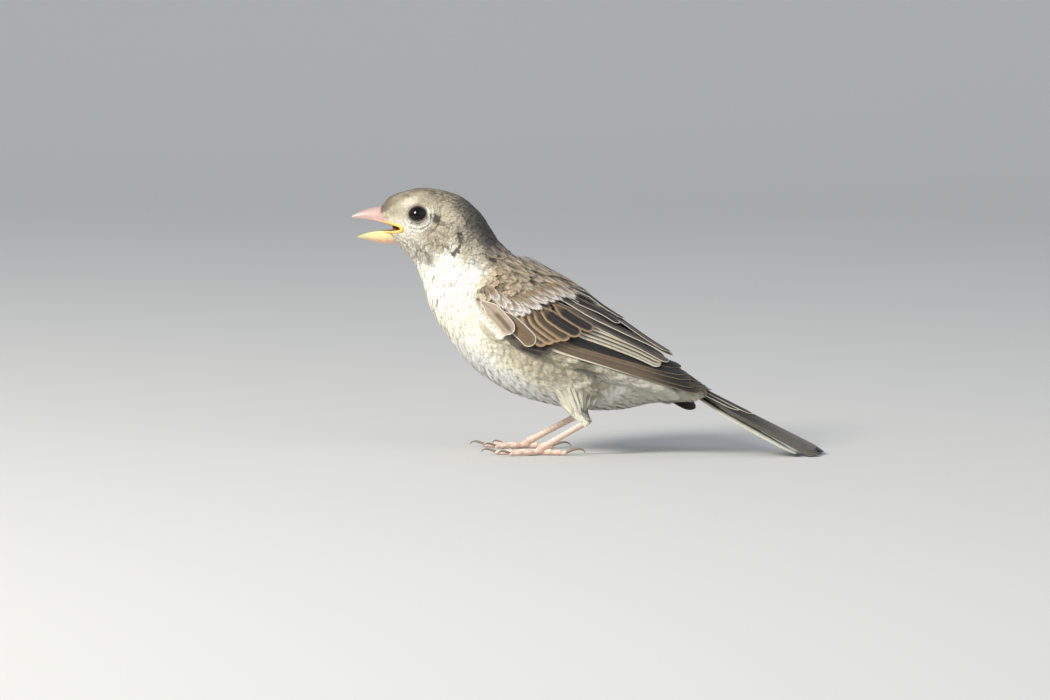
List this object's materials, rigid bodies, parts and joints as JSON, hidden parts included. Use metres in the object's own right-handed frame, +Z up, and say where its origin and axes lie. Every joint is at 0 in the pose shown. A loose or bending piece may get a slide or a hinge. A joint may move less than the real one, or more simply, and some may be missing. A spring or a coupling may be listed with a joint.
{
  "type": "house sparrow",
  "caption": "Life-size still model of a hen house sparrow that stands on both feet with its bill open, its head turned a little and its tail low.",
  "frame": {"origin": "middle of the footprint box, on the floor that both feet and the tail's tip rest on", "axes": "-X is the way the bird faces, +X runs to its tail, -Y is its left side and +Z is up"},
  "size_m": [0.135, 0.0418, 0.0755],
  "materials": {
    "plumage_pale": "soft cream and buff body feathers",
    "plumage_head": "soft grey-brown head feathers",
    "wing_brown": "dark brown feathers with buff edges",
    "tail_brown": "grey-brown feathers with pale edges",
    "bill_horn": "pinkish grey horn, satin",
    "bill_yellow": "pale yellow horn, satin",
    "eye_black": "wet black",
    "leg_skin": "dull pink scaled skin"
  },
  "bodies": {
    "root": {"torso": "plumage_pale", "neck": "plumage_head", "head": "plumage_head", "bill_upper": "bill_horn", "bill_lower": "bill_yellow", "eye_left": "eye_black", "eye_right": "eye_black", "wing_left": "wing_brown", "wing_right": "wing_brown", "tail": "tail_brown", "thigh_left": "plumage_pale", "thigh_right": "plumage_pale", "tarsus_left": "leg_skin", "tarsus_right": "leg_skin", "foot_left": "leg_skin", "foot_right": "leg_skin"}
  },
  "joints": []
}
